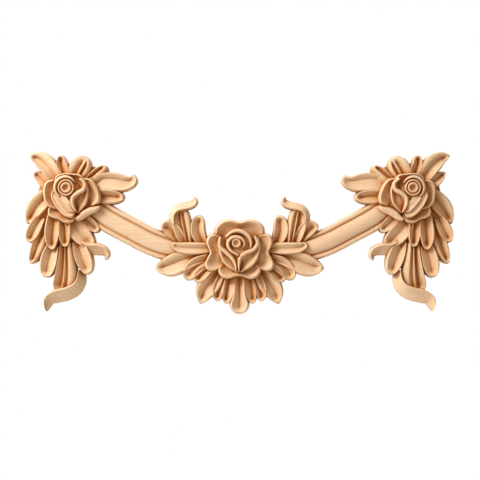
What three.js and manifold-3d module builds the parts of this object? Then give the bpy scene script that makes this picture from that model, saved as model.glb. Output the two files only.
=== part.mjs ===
// Carved crown onlay: three roses with leaves, joined by two moulded bands, carved from one board.
// Millimetres. +X to the right, +Z up, the carved front faces -Y and the flat back lies on y = 0.
// The origin is on the back, behind the middle rose.
import * as THREE from 'three';
import { mergeVertices } from 'three/addons/utils/BufferGeometryUtils.js';
import Module from 'manifold-3d';

const wasm = await Module();
wasm.setup();

// Overall size, and the layout grid that the carving is drawn on
const carvingLength = 430;
const gridSquares = 430;
const square = carvingLength / gridSquares;

// Heights of the carving above its flat back, from the leaf tips to the rose buds
const groundHeight = 6;
const tipHeight = 7.5;
const lowLeaf = 11;
const rootHeight = 12;
const midLeaf = 13.5;
const highLeaf = 15.5;
const outerPetal = 18.5;
const innerPetal = 21.5;
const budHeight = 24;

// The cuts, in millimetres, with the share of a leaf's half width that its crests and its rim take
const scoopCut = 5;
const edgeRound = 2.2;
const ribRound = 2.2;
const ribRoot = 0.6;
const crestShare = 0.82;
const rimShare = 0.22;
const veinEnd = 0.6;
const petalHollow = 4.6;
const petalEdge = 2.4;
const petalCrest = 0.86;
const petalFold = 0.5;
const petalReach = 0.35;
const petalEndFall = 2;
const wallDraft = 0.8;
const sawMargin = 2;

// The band's moulding
const bandWidth = 26.5;
const bandHeight = 10.5;
const bandFall = 4.5;
const bandSwell = 2.2;
const bandGrooveCut = 1.2;
const bandGrooveAt = 0.62;
const bandGrooveHalf = 0.13;
const bandFilletAt = 0.88;
const bandEdgeRound = 2;

// The end rose's eye, out from the middle and up
const endRoseOut = 172.5;
const endRoseUp = 52;

// Length of one facet along a leaf, a petal's rim and the band, with the fewest and most of them
const leafFacet = 11.5;
const petalFacet = 10;
const ribFacet = 6;
const curlFacet = 7;
const bandFacet = 22;
const fewestFacets = 4;
const mostFacets = 9;
const rowEasing = 1.3;
const ridgeShare = 0.4;
const coreSides = 12;

// Edges that joining leaves shorter than this are closed up, where no facet turns by more than leastTurn,
// the cosine of the largest angle, and no corner leaves the back
const shortestEdge = 0.5;
const leastTurn = 0.6;
const backPlay = 1e-4;
const noArea = 1e-4;

const timber = new THREE.MeshStandardMaterial({ color: '#c99b6e', roughness: 0.7, metalness: 0 });

const clamp = THREE.MathUtils.clamp;
const smooth = THREE.MathUtils.smoothstep;

// One value for both sides of a form, or one for each
const pair = (value) => (Array.isArray(value) ? value : [value, value]);

// A solid from loose triangles, with shared corners merged and slivers of no area dropped
function solidFrom(positions, triangles) {
  const loose = new THREE.BufferGeometry();
  loose.setAttribute('position', new THREE.Float32BufferAttribute(positions, 3));
  loose.setIndex(triangles);
  const merged = mergeVertices(loose, 1e-3);
  const index = merged.index.array;
  const kept = [];
  let volume = 0;
  const corner = [new THREE.Vector3(), new THREE.Vector3(), new THREE.Vector3()];
  for (let i = 0; i < index.length; i += 3) {
    const [a, b, c] = index.slice(i, i + 3);
    if (a !== b && b !== c && c !== a) {
      kept.push([a, b, c]);
      [a, b, c].forEach((n, k) => corner[k].fromBufferAttribute(merged.attributes.position, n));
      volume += corner[0].dot(corner[1].cross(corner[2]));
    }
  }
  if (volume < 0) kept.forEach((triangle) => triangle.reverse());
  const mesh = new wasm.Mesh({
    numProp: 3,
    vertProperties: new Float32Array(merged.attributes.position.array),
    triVerts: new Uint32Array(kept.flat()),
  });
  return new wasm.Manifold(mesh);
}

// A closed solid between a grid of front points and the same grid on the back
function gridSolid(front, back) {
  const rows = front.length;
  const columns = front[0].length;
  const behind = rows * columns;
  const triangles = [];
  const quad = (a, b, c, d) => triangles.push(a, b, c, a, c, d);
  const at = (i, j) => i * columns + j;
  for (let i = 0; i < rows - 1; i += 1) {
    for (let j = 0; j < columns - 1; j += 1) {
      quad(at(i, j), at(i + 1, j), at(i + 1, j + 1), at(i, j + 1));
      quad(behind + at(i, j), behind + at(i, j + 1), behind + at(i + 1, j + 1), behind + at(i + 1, j));
    }
  }
  const wall = (a, b) => quad(a, b, behind + b, behind + a);
  for (let i = 0; i < rows - 1; i += 1) {
    wall(at(i + 1, 0), at(i, 0));
    wall(at(i, columns - 1), at(i + 1, columns - 1));
  }
  for (let j = 0; j < columns - 1; j += 1) {
    wall(at(0, j), at(0, j + 1));
    wall(at(rows - 1, j + 1), at(rows - 1, j));
  }
  return solidFrom([...front.flat(), ...back.flat()].flat(), triangles);
}

// A smooth line through plan points, which are squares from a group's own centre
function planLine(points) {
  const corners = points.map(([x, z]) => new THREE.Vector3(x, 0, z).multiplyScalar(square));
  return new THREE.CatmullRomCurve3(corners, false, 'centripetal');
}

// How many facets a line is cut into
function facets(curve, length) {
  return Math.round(clamp(curve.getLength() / (length * square), fewestFacets, mostFacets));
}

// A point of a group put in its place on the board, with the right half mirrored
function placed(x, y, z, where) {
  return [where.side * (x - where.out), y, z + where.up];
}

// Height along a leaf from its root, middle and tip heights
function along(rise, t) {
  return rise[0] * (1 - t) ** 2 + rise[1] * 2 * t * (1 - t) + rise[2] * t * t;
}

// Lines across a leaf: its two edges, its veins and the crests between them, each with its level.
// Without veins it has one ridge, with a line on each side of it.
function section(shape) {
  const { veins = [0], crests = crestShare, cut = scoopCut, ridge = 0, powers = [2, 2] } = shape;
  const edges = pair(shape.edge ?? edgeRound);
  if (veins.length === 0) {
    return [
      [-1, -edges[0]],
      [ridge - ridgeShare * (1 + ridge), -edges[0] * ridgeShare ** powers[0]],
      [ridge + ridgeShare * (1 - ridge), -edges[1] * ridgeShare ** powers[1]],
      [1, -edges[1]],
    ];
  }
  const [firstCrest, lastCrest] = pair(crests);
  const cuts = Array.isArray(cut) ? cut : veins.map(() => cut);
  const lines = [[-1, -edges[0]], [-firstCrest, 0]];
  veins.forEach((vein, k) => {
    lines.push([vein, -cuts[k]]);
    lines.push([k < veins.length - 1 ? (vein + veins[k + 1]) / 2 : lastCrest, 0]);
  });
  return [...lines, [1, -edges[1]]];
}

// Half width of a leaf at t along it, as a share of its widest. Up to its belly it widens early, or late.
function widthShare(t, root, belly, point, late) {
  if (t < belly) return root + (1 - root) * Math.sin((Math.PI / 2) * (t / belly) ** late);
  return Math.max(0, 1 - ((t - belly) / (1 - belly)) ** 2) ** point;
}

// A leaf, curl or rib: a solid along a line, with its carved section across.
// Its last row but one is a rim's width short of the tip, where the veins have run out.
function leaf(shape, where) {
  const { line, wide, rise, root = 0.7, belly = 0.5, point = 0.7, late = 1, facet = leafFacet } = shape;
  const lines = section(shape);
  const widths = pair(wide);
  const tipDrop = Math.min(...pair(shape.edge ?? edgeRound));
  const curve = planLine(line);
  const length = curve.getLength();
  const rows = facets(curve, facet);
  const mean = ((widths[0] + widths[1]) / 2) * square;
  const rim = rimShare * mean;
  const front = [];
  const back = [];
  for (let i = 0; i <= rows; i += 1) {
    const atTip = i === rows;
    const t = atTip ? 1 : (1 - (1 - i / (rows - 1)) ** rowEasing) * (1 - rim / length);
    const centre = curve.getPointAt(t);
    const tangent = curve.getTangentAt(t);
    const share = atTip ? 0 : widthShare(t, root, belly, point, late);
    const veinKept = smooth(length * (1 - t), rim, rim + veinEnd * mean);
    const frontRow = [];
    const backRow = [];
    for (const [s, depth] of lines) {
      const level = depth * (Math.abs(s) < 1 ? veinKept : 1);
      const height = along(rise, t) + (atTip ? -tipDrop : level);
      const reach = widths[s < 0 ? 0 : 1] * s * share * square;
      const backReach = atTip ? 0 : reach + wallDraft * s;
      const backStep = atTip ? wallDraft : 0;
      frontRow.push(placed(centre.x - tangent.z * reach, -height, centre.z + tangent.x * reach, where));
      const backX = centre.x - tangent.z * backReach + tangent.x * backStep;
      const backZ = centre.z + tangent.x * backReach + tangent.z * backStep;
      backRow.push(placed(backX, sawMargin, backZ, where));
    }
    front.push(frontRow);
    back.push(backRow);
  }
  return gridSolid(front, back);
}

// A petal: a solid from its rim towards the rose's heart, hollowed behind the rolled rim
function petal(shape, where) {
  const { rim, heart, height, reach = petalReach, hollow = petalHollow, edge = petalEdge } = shape;
  const { crest = petalCrest, fold = petalFold } = shape;
  const lines = [[0, -hollow], [crest - fold, -hollow], [crest, 0], [1, -edge]];
  const curve = planLine(rim);
  const rows = facets(curve, petalFacet);
  const [heartX, heartZ] = heart.map((value) => value * square);
  const front = [];
  const back = [];
  for (let i = 0; i <= rows; i += 1) {
    const t = i / rows;
    const out = curve.getPointAt(t);
    const fall = petalEndFall * Math.abs(2 * t - 1) ** 4;
    const dx = out.x - heartX;
    const dz = out.z - heartZ;
    const frontRow = [];
    const backRow = [];
    for (const [s, level] of lines) {
      const share = reach + (1 - reach) * s;
      const backShare = share + (wallDraft * s) / Math.hypot(dx, dz);
      frontRow.push(placed(heartX + dx * share, fall - height - level, heartZ + dz * share, where));
      backRow.push(placed(heartX + dx * backShare, sawMargin, heartZ + dz * backShare, where));
    }
    front.push(frontRow);
    back.push(backRow);
  }
  return gridSolid(front, back);
}

// A turned boss inside a rose. Its profile is [share of the radius, drop from the top] from the middle out.
function boss({ across, up, radius, height, profile }, where) {
  const last = profile[profile.length - 1];
  const outline = [[0, sawMargin], [last[0] * radius, sawMargin]];
  [...profile].reverse().forEach(([share, drop]) => outline.push([share * radius, drop - height]));
  const lathe = new THREE.LatheGeometry(outline.map(([r, y]) => new THREE.Vector2(r * square, y)), coreSides);
  const positions = [];
  const corners = lathe.attributes.position;
  for (let i = 0; i < corners.count; i += 1) {
    const x = corners.getX(i) + across * square;
    const z = corners.getZ(i) + up * square;
    positions.push(...placed(x, corners.getY(i), z, where));
  }
  return solidFrom(positions, [...lathe.index.array]);
}

// A narrow rounded rib, such as a petal's rolled edge seen end on
function rib(line, wide, height, more = {}) {
  const rise = [height, height, height];
  return { line, wide, rise, veins: [], edge: ribRound, root: ribRoot, facet: ribFacet, ...more };
}

// A ring of the bud as an arc around its eye
function arc(radius, from, to, steps = 8) {
  return Array.from({ length: steps + 1 }, (_, i) => {
    const angle = THREE.MathUtils.degToRad(from + ((to - from) * i) / steps);
    return [radius * Math.cos(angle), radius * Math.sin(angle)];
  });
}

// Leaves of an end group, in squares from the rose's eye, from its root to its tip.
// A pair gives the right and the left of the line, seen from the root.
const endLeaves = [
  // Pointed leaf towards the corner
  { line: [[-8, 4], [-12, 11], [-21, 23], [-29, 29.5], [-38.5, 32.5]], wide: [9.5, 8.5],
    rise: [rootHeight, midLeaf + 1, tipHeight], root: 0.8, belly: 0.5, point: 0.75,
    cut: 4 },
  // Small oval below it
  { line: [[-14, -3], [-22, 6], [-34, 16]], wide: 6, rise: [midLeaf, midLeaf, tipHeight], cut: 4 },
  // Upright oval
  { line: [[-2, 6], [-4, 18], [-6, 24], [-6.5, 33]], wide: [6.5, 5],
    rise: [rootHeight, midLeaf + 1, lowLeaf], point: 0.5 },
  // Broad leaf with two veins
  { line: [[7, 8], [12, 19], [19.5, 31]], wide: [11, 10.5], rise: [rootHeight, midLeaf + 1, lowLeaf],
    point: 0.5, veins: [-0.36, 0.08], crests: [0.62, 0.85], cut: [3.6, 3.6] },
  // Oval up to the right
  { line: [[19, 3], [31, 14], [39.5, 21.5]], wide: [8, 6.5], rise: [rootHeight, midLeaf + 1, lowLeaf],
    point: 0.5, veins: [0.42], crests: [0.02, 0.86], cut: 4, edge: [4.5, 2] },
  // Big leaf to the right
  { line: [[20, 4], [38, 9], [50, 8.5], [58, 7], [64, 8], [66.5, 13.5]], wide: [13, 6.5],
    rise: [rootHeight, midLeaf + 1, lowLeaf], belly: 0.5, point: 0.75, cut: 3.2 },
  // Small oval under it
  { line: [[24, -8], [42, -8.5], [57, -9.5]], wide: 7.8, rise: [rootHeight, midLeaf + 1, lowLeaf],
    point: 0.5, crests: 0.72 },
  // Broad leaf down to the left
  { line: [[-12, -4], [-23, -11], [-30.5, -18.5], [-36, -27], [-40.5, -35.5]], wide: [9.5, 9.5],
    rise: [rootHeight, midLeaf + 1, tipHeight], belly: 0.45, point: 0.75 },
  // Small leaf at the left edge
  { line: [[-26, -29], [-30.5, -37], [-34.5, -45], [-39, -54]], wide: [7, 7],
    rise: [lowLeaf - 1, highLeaf, lowLeaf - 0.5], point: 0.55, cut: 5 },
  // Leaf under that
  { line: [[-21, -33], [-27.5, -50], [-31.5, -62], [-37, -75.5]], wide: [6.5, 10],
    rise: [groundHeight + 1, midLeaf, tipHeight + 1], crests: [0.8, 0.42], edge: [2.2, 4.5], point: 0.6,
    cut: 4.6 },
  // Two upper loops of the drop
  { line: [[-12, -22], [-14, -40], [-15, -52], [-14.5, -62]], wide: 8,
    rise: [rootHeight, highLeaf + 1, midLeaf], point: 0.6, cut: 6.5 },
  { line: [[-3, -24], [-2.5, -42], [-1.5, -59]], wide: [6.5, 6.8],
    rise: [rootHeight, highLeaf + 1, midLeaf], point: 0.5, cut: 6 },
  // Slanting leaf beside them
  { line: [[4, -24], [7, -37], [15, -48], [27, -58]], wide: [9.5, 11],
    rise: [rootHeight, midLeaf + 1, lowLeaf], point: 0.6, cut: 4.5 },
  // Small leaf beside the band
  { line: [[13, -22], [20, -33], [27, -39], [31.5, -43.5]], wide: [7, 6.5],
    rise: [rootHeight, midLeaf + 1, lowLeaf], point: 0.5, cut: 4 },
  // Curl to the side
  { line: [[13, -57], [21, -60.5], [30, -61], [36.5, -63], [39.5, -67], [38, -72]], wide: [6, 5.5],
    rise: [midLeaf - 1, midLeaf + 1.5, lowLeaf], veins: [], ridge: 0.65, edge: [6, 1.6],
    powers: [0.7, 2], root: 0.8, belly: 0.4, point: 0.8, facet: curlFacet },
  // Lower right leaf
  { line: [[10, -53], [13, -64], [16.5, -74], [21, -86.5]], wide: [7.5, 10],
    rise: [lowLeaf, midLeaf, lowLeaf], point: 0.5 },
  // Lower left leaf
  { line: [[-14, -57], [-17.5, -68], [-20, -80], [-21.5, -89.5]], wide: [8.5, 9.5],
    rise: [lowLeaf, midLeaf, lowLeaf], point: 0.5 },
  // Long main leaf
  { line: [[-1, -55], [-0.5, -75], [-1, -90], [-4, -107]], wide: [12.5, 11.5],
    rise: [midLeaf - 2, midLeaf + 1.5, tipHeight + 0.5], root: 0.5, belly: 0.8, late: 1.5, point: 0.4,
    veins: [-0.36, 0.06], crests: [0.93, 0.38], cut: [5, 3], edge: [2, 3] },
  // Its tip, turned over
  { line: [[14, -83], [13.5, -93], [8, -101.5], [-1, -106], [-11, -108.5], [-18, -112], [-21, -123]],
    wide: [6.8, 6.8], rise: [lowLeaf + 1, midLeaf + 3, lowLeaf + 1], veins: [], ridge: -0.8,
    edge: [1.4, 10], powers: [2, 0.7], root: 0.45, belly: 0.6, point: 0.85, facet: curlFacet },
];

// Petals of an end rose, from the outside to the bud
const endPetals = [
  { rim: [[-8, 8], [-15, 8], [-20, 6], [-22.5, 1], [-22.5, -9], [-21, -15], [-16, -20], [-8, -22]],
    heart: [-3, -5], height: outerPetal },
  { rim: [[-11, 4], [-11, 10], [-6, 13.5], [-1, 14.5], [8, 14], [14, 13], [19, 8]], heart: [1, 2],
    height: outerPetal + 1 },
  { rim: [[18, 10], [25, 8.5], [29, 4], [32, -2], [34, -9], [33, -15], [27, -19]], heart: [10, -5],
    height: outerPetal },
  {
    rim: [[-14, -16], [-18, -21], [-18, -27], [-14, -30], [-8, -31.5], [-2, -35], [4, -35], [9, -31],
      [10, -25]],
    heart: [0, -12], height: outerPetal - 1,
  },
  { rim: [[-12, -1], [-15, -7], [-13, -14], [-8, -22], [0, -29], [6, -30], [9, -26]], heart: [2, -6],
    height: innerPetal, hollow: 1.2, crest: 0.88, fold: 0.2 },
  { rim: [[-9, -5], [-8, -11], [-3, -18], [4, -25], [9, -25]], heart: [5, -8], height: innerPetal + 0.8,
    hollow: 1, edge: 2.5, crest: 0.85, fold: 0.25 },
  { rim: [[17, 8], [22, 1], [22.5, -8], [20, -17], [12, -26]], heart: [7, -10], height: innerPetal - 1.5,
    hollow: 4 },
];

// Rolled edges of an end rose
const endRibs = [
  rib([[10, -31.5], [14, -29.5], [18, -26], [24, -23], [29, -21.5], [34, -19]], [3.6, 3.8], outerPetal + 0.5,
    { ridge: 0.3, root: 0.5, belly: 0.4, point: 0.45 }),
  rib([[14, 9], [19, 4], [18, -1.5], [11, -6], [7, -10], [7, -17], [11, -25]], 2.4, innerPetal + 1.5),
  rib(arc(10.5, 235, 20), 2, budHeight - 1.5),
];

// Leaves of the middle group's left half, from its root to its tip
const middleLeaves = [
  // Tall leaf
  { line: [[-53, -5], [-57.5, 15], [-60.5, 33]], wide: [9.5, 10], rise: [lowLeaf, midLeaf + 1, lowLeaf],
    root: 0.6, belly: 0.6, point: 0.35, veins: [-0.3, 0.08], crests: [0.62, 0.87], cut: [2.8, 4.4] },
  // Its tip, curled over
  { line: [[-67, 16], [-67.5, 25], [-63.5, 31], [-56.5, 33.5], [-49.5, 35], [-45, 38], [-45.5, 43]],
    wide: [3.8, 3.8], rise: [midLeaf, midLeaf + 2.5, midLeaf - 1], veins: [], ridge: -0.6,
    edge: [1.6, 4.5], powers: [2, 1.2], root: 0.6, belly: 0.75, point: 0.8, facet: curlFacet },
  // Leaf to its right
  { line: [[-36, -4], [-41, 10], [-39.5, 24.5]], wide: [6.5, 8.5], rise: [lowLeaf, midLeaf + 1, lowLeaf],
    point: 0.45 },
  // Leaf over the band
  { line: [[-58, -2], [-65, 7], [-72, 12], [-79, 14]], wide: [9, 7], rise: [lowLeaf - 2, midLeaf, lowLeaf],
    point: 0.5 },
  // Cut stem
  { line: [[-24, -8], [-45, -8.5], [-60, -7.5], [-68, -4]], wide: [6.2, 6.2],
    rise: [rootHeight, midLeaf + 4, midLeaf], cut: 2.4, point: 0.4, crests: 0.7 },
  // Big leaf out to the left
  { line: [[-26, -15.5], [-45, -16.5], [-59.5, -20.5], [-70, -25], [-84.5, -28.5]], wide: [9.5, 12.5],
    rise: [tipHeight + 0.5, highLeaf + 1, lowLeaf - 1], root: 0.4, belly: 0.66, point: 0.75,
    cut: 4.5 },
  // Five leaves fanned below
  { line: [[-30, -19], [-42, -25], [-49, -32], [-53, -40]], wide: [8.5, 8.5],
    rise: [midLeaf, highLeaf, lowLeaf], point: 0.5 },
  { line: [[-29, -27], [-36, -32], [-44.5, -41.5]], wide: [6.5, 6.8],
    rise: [highLeaf, highLeaf, lowLeaf], point: 0.5 },
  { line: [[-20, -29], [-27.5, -40], [-35, -50.5], [-39.5, -64]], wide: [9.5, 11.5],
    rise: [lowLeaf, midLeaf + 1, tipHeight], belly: 0.5, point: 0.85 },
  { line: [[-16, -34], [-20.5, -46], [-22.5, -61]], wide: [6.2, 6.2], rise: [lowLeaf, midLeaf, lowLeaf],
    point: 0.5 },
  { line: [[-8.5, -34], [-11, -50], [-13.5, -63.5]], wide: [6, 6.5], rise: [lowLeaf, midLeaf, lowLeaf],
    veins: [-0.25], point: 0.5 },
];

// Leaf on the middle line, a narrow shaft that ends in a round lobe
const middleLine = [
  { line: [[0, -34], [0, -50], [0, -74]], wide: 9.5, rise: [rootHeight, midLeaf + 2, lowLeaf], root: 0.6,
    belly: 0.76, late: 5, point: 0.5, crests: 0.8, cut: 5 },
];

// Petals of the middle rose, drawn for its left half and for its middle line
const middleSidePetals = [
  {
    rim: [[-20, 5], [-26, 6.5], [-31, 4], [-33, -1], [-31.5, -7], [-29.5, -12], [-32, -18], [-34.5, -24],
      [-32.5, -29.5], [-27, -31], [-20, -29]],
    heart: [-14, -12], height: outerPetal, reach: 0.3, fold: 0.6,
  },
  { rim: [[-19, 4], [-21, -6], [-19, -17], [-13, -26], [-1, -33]], heart: [-2, -8],
    height: innerPetal - 0.5, hollow: 4 },
];
const middleLinePetals = [
  {
    rim: [[-25, 7], [-24, 13], [-18.5, 18.5], [-10, 20.5], [0, 18.5], [10, 20.5], [18.5, 18.5], [24, 13],
      [25, 7]],
    heart: [0, -3], height: outerPetal + 0.5,
  },
  {
    rim: [[-19, -25], [-21.5, -30], [-18, -36.5], [-12, -38.5], [0, -35.5], [11, -39], [18, -36.5],
      [21.5, -30], [19, -25]],
    heart: [0, -18], height: outerPetal, fold: 0.6,
  },
];

// Rolled edges of the middle rose
const middleRibs = [
  rib([[-19, 3], [-19.5, -6], [-13.5, -12], [-8, -17], [-4.5, -23], [-3, -32]], 2.4, innerPetal + 1),
  rib([[15, 4], [18, -3], [14.5, -9], [6, -13], [1, -17], [-0.5, -24], [-0.5, -32]], 2.4, innerPetal + 1.5),
  rib([[-13.5, 3], [-7.5, 7.5], [-1.5, 9], [5.5, 6.5], [10, 2], [11.5, -4], [10, -10]], 2.4, budHeight - 1.5),
  rib([[-1, -15], [-9, -10], [-11.5, -3], [-8, 2], [-3, 3], [2, 1.5], [5, -3], [3, -9]], 2, budHeight),
];

// Round bodies inside an end rose and inside the middle rose, and the rings of their buds
const dome = [[0, 0], [0.6, 0.8], [0.95, 3.5], [1, 4]];
const budRings = [[0, 3.4], [0.2, 3.2], [0.44, 0], [0.64, 2.2], [0.78, 0.6], [0.9, 1.2], [1, 5]];
const budHeart = [[0, 2.5], [0.3, 2.4], [0.65, 0], [1, 4.5]];
const endCores = [
  { across: 4, up: -6, radius: 20, height: 15.5, profile: dome },
  { across: 1, up: -3, radius: 13, height: 19.5, profile: dome },
  { across: 0.5, up: 0, radius: 8.8, height: budHeight, profile: budRings },
];
const middleCores = [
  { across: 0, up: -11, radius: 26, height: 15, profile: dome },
  { across: 0, up: -8, radius: 15, height: 19.5, profile: dome },
  { across: -3, up: -3, radius: 5.5, height: budHeight - 0.5, profile: budHeart },
];

// Ground left between the leaves, so that light doesn't pass through the carving
const ground = { rise: [groundHeight, groundHeight, groundHeight], veins: [], edge: 1 };
const endGround = [
  { line: [[-14, 10], [-16, -20], [-18, -50], [-22, -80]], wide: 17, ...ground },
  { line: [[-20, 4], [0, 12], [30, 8], [50, 4]], wide: 13, ...ground },
  { line: [[2, -20], [10, -50], [10, -80]], wide: 15, ...ground },
];
const middleGround = [
  { line: [[-10, -10], [-40, -8], [-66, -4]], wide: [11, 16], ...ground },
  { line: [[-46, -22], [-20, -40], [0, -50]], wide: 14, ...ground },
];

// The band's centre line, from behind an end rose to behind the middle group
const bandLine = [[-152, 36], [-133.5, 22.5], [-109, 9], [-87.5, -2], [-64.5, -9], [-35, -12]];

// One half of the band's section, from its middle out: swell, groove and fillet
const bandHalfSection = [
  [0, bandSwell],
  [bandGrooveAt / 2, bandSwell * 0.75],
  [bandGrooveAt - bandGrooveHalf, bandSwell * (1 - (1 - bandGrooveHalf / bandGrooveAt) ** 2)],
  [bandGrooveAt, -bandGrooveCut],
  [bandGrooveAt + bandGrooveHalf, 0],
  [bandFilletAt, 0],
  [1, -bandEdgeRound],
];
const bandSection = [
  ...bandHalfSection.slice(1).reverse().map(([s, level]) => [-s, level]),
  ...bandHalfSection,
];

// A moulded band: an even section along its line, which drops where it runs under the middle group
function band(where) {
  const curve = planLine(bandLine);
  const rows = facets(curve, bandFacet);
  const front = [];
  const back = [];
  for (let i = 0; i <= rows; i += 1) {
    const t = i / rows;
    const centre = curve.getPointAt(t);
    const tangent = curve.getTangentAt(t);
    const frontRow = [];
    const backRow = [];
    for (const [s, level] of bandSection) {
      const height = bandHeight - bandFall * t ** 3 + level;
      const reach = (bandWidth / 2) * s;
      const backX = centre.x - tangent.z * (reach + wallDraft * s);
      const backZ = centre.z + tangent.x * (reach + wallDraft * s);
      frontRow.push(placed(centre.x - tangent.z * reach, -height, centre.z + tangent.x * reach, where));
      backRow.push(placed(backX, sawMargin, backZ, where));
    }
    front.push(frontRow);
    back.push(backRow);
  }
  return gridSolid(front, back);
}

// The whole carving, joined into one solid and sawn flat at the back
function carving() {
  const solids = [];
  const middle = { side: 1, out: 0, up: 0 };
  for (const side of [1, -1]) {
    const end = { side, out: endRoseOut, up: endRoseUp };
    const half = { side, out: 0, up: 0 };
    solids.push(band(half));
    solids.push(...endCores.map((shape) => boss(shape, end)));
    solids.push(...[...endGround, ...endLeaves, ...endRibs].map((shape) => leaf(shape, end)));
    solids.push(...endPetals.map((shape) => petal(shape, end)));
    solids.push(...[...middleGround, ...middleLeaves].map((shape) => leaf(shape, half)));
    solids.push(...middleSidePetals.map((shape) => petal(shape, half)));
  }
  solids.push(...middleCores.map((shape) => boss(shape, middle)));
  solids.push(...[...middleLine, ...middleRibs].map((shape) => leaf(shape, middle)));
  solids.push(...middleLinePetals.map((shape) => petal(shape, middle)));
  const joined = solids.reduce((whole, solid) => whole.add(solid));
  const sawn = new THREE.BoxGeometry(2 * carvingLength, 2 * sawMargin + 2, carvingLength);
  sawn.translate(0, sawMargin + 1, 0);
  return joined.subtract(solidFrom([...sawn.attributes.position.array], [...sawn.index.array]));
}

// The triangles around each corner of a mesh
function trianglesAround(triangles, corners) {
  const around = Array.from({ length: corners }, () => new Set());
  triangles.forEach((triangle) => triangle.forEach((corner) => around[corner].add(triangle)));
  return around;
}

// Corners that share a triangle with this one
function neighbours(around, corner) {
  const near = new Set([...around[corner]].flat());
  near.delete(corner);
  return near;
}

// The facing of a triangle, as long as twice its area
function facing(points, [a, b, c]) {
  const side = points[b].clone().sub(points[a]);
  return side.cross(points[c].clone().sub(points[a]));
}

// Whether a corner lies on the flat back
const onBack = (point) => Math.abs(point.y) < backPlay;

// Whether a corner can move onto its neighbour with every triangle around it still facing its way
function canMove(points, around, gone, kept) {
  if (onBack(points[gone]) && !onBack(points[kept])) return false;
  return [...around[gone]].every((triangle) => {
    if (triangle.includes(kept)) return true;
    const before = facing(points, triangle);
    const after = facing(points, triangle.map((corner) => (corner === gone ? kept : corner)));
    if (after.length() < noArea) return false;
    return before.length() < noArea || before.normalize().dot(after.normalize()) > leastTurn;
  });
}

// Closes up the short edges that joining leaves, shortest first, and gives what is left of the triangles
function closeShortEdges(points, triangles) {
  const around = trianglesAround(triangles, points.length);
  const edges = triangles.flatMap(([a, b, c]) => [[a, b], [b, c], [c, a]]).filter(([a, b]) => a < b);
  const span = ([a, b]) => points[a].distanceTo(points[b]);
  const short = edges.filter((edge) => span(edge) < shortestEdge).sort((one, two) => span(one) - span(two));
  for (const [a, b] of short) {
    const shared = [...neighbours(around, a)].filter((corner) => neighbours(around, b).has(corner));
    const way = [[a, b], [b, a]].find(([gone, kept]) => canMove(points, around, gone, kept));
    if (around[a].size > 0 && around[b].size > 0 && shared.length === 2 && way) {
      const [gone, kept] = way;
      for (const triangle of [...around[gone]]) {
        if (triangle.includes(kept)) {
          triangle.forEach((corner) => around[corner].delete(triangle));
        } else {
          triangle[triangle.indexOf(gone)] = kept;
          around[kept].add(triangle);
        }
      }
      around[gone].clear();
    }
  }
  return [...new Set(around.flatMap((near) => [...near]))];
}

// The joined solid as a mesh, with its short edges closed up and its unused corners dropped
function meshOf(solid, name, material) {
  const { vertProperties, triVerts } = solid.getMesh();
  const points = [];
  for (let i = 0; i < vertProperties.length; i += 3) {
    points.push(new THREE.Vector3().fromArray(vertProperties, i));
  }
  let triangles = [];
  for (let i = 0; i < triVerts.length; i += 3) triangles.push([...triVerts.slice(i, i + 3)]);
  let before = Infinity;
  while (triangles.length < before) {
    before = triangles.length;
    triangles = closeShortEdges(points, triangles);
  }
  const used = [...new Set(triangles.flat())];
  const place = new Map(used.map((corner, i) => [corner, i]));
  const positions = used.flatMap((corner) => points[corner].toArray());
  const geometry = new THREE.BufferGeometry();
  geometry.setAttribute('position', new THREE.Float32BufferAttribute(positions, 3));
  geometry.setIndex(triangles.flat().map((corner) => place.get(corner)));
  geometry.computeVertexNormals();
  const mesh = new THREE.Mesh(geometry, material);
  mesh.name = name;
  return mesh;
}

const onlay = new THREE.Group();
onlay.add(meshOf(carving(), 'carved_onlay', timber));

export default onlay;
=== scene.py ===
"""A carved swag onlay of sanded beech: the whole carving as one fine mesh, in place of the plain solid."""
import math

import bmesh
import bpy
import mathutils
import numpy as np
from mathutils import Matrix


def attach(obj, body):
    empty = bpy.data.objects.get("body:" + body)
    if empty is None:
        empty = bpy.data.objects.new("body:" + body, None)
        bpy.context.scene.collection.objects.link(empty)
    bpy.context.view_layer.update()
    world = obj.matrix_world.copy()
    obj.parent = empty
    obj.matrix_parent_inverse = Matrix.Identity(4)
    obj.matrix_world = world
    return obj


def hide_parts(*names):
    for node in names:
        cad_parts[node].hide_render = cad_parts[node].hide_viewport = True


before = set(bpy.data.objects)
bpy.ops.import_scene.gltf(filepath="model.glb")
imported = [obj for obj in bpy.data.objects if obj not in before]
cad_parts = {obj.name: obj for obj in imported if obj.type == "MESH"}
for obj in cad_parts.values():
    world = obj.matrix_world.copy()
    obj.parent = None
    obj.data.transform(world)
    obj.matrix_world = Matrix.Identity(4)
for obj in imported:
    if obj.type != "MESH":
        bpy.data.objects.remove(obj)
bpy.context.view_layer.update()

# Places on the plan are in millimetres from the middle of the flat back: across, then up.
MM = 0.001

# A form's walls run a little past the glue face, where the saw takes them off.
SAW_MARGIN = 2.0
SAW_BOARD = [600, 20, 300]
WALL_DRAFT = 0.8
MERGE = 0.001
CREASE_ANGLE = 32
LEAST_LENGTH = 1e-6

# Beech's own flecks are 0.3 mm thick and too fine to show, so the grain is drawn about a millimetre thick
# and 45 mm long. Its tone drifts over some 60 mm.
GRAIN_LONG = 45
GRAIN_THICK = 1.1
BROAD_TONE = 60
GRAIN_LIGHT = "#F3DBBF"
GRAIN_DARK = "#E4C49E"
GRAIN_DARK_AT, GRAIN_LIGHT_AT = 0.3, 0.7
TONE_SHIFT = "#F4E6DA"
GRAIN_RELIEF = 0.2

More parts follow.
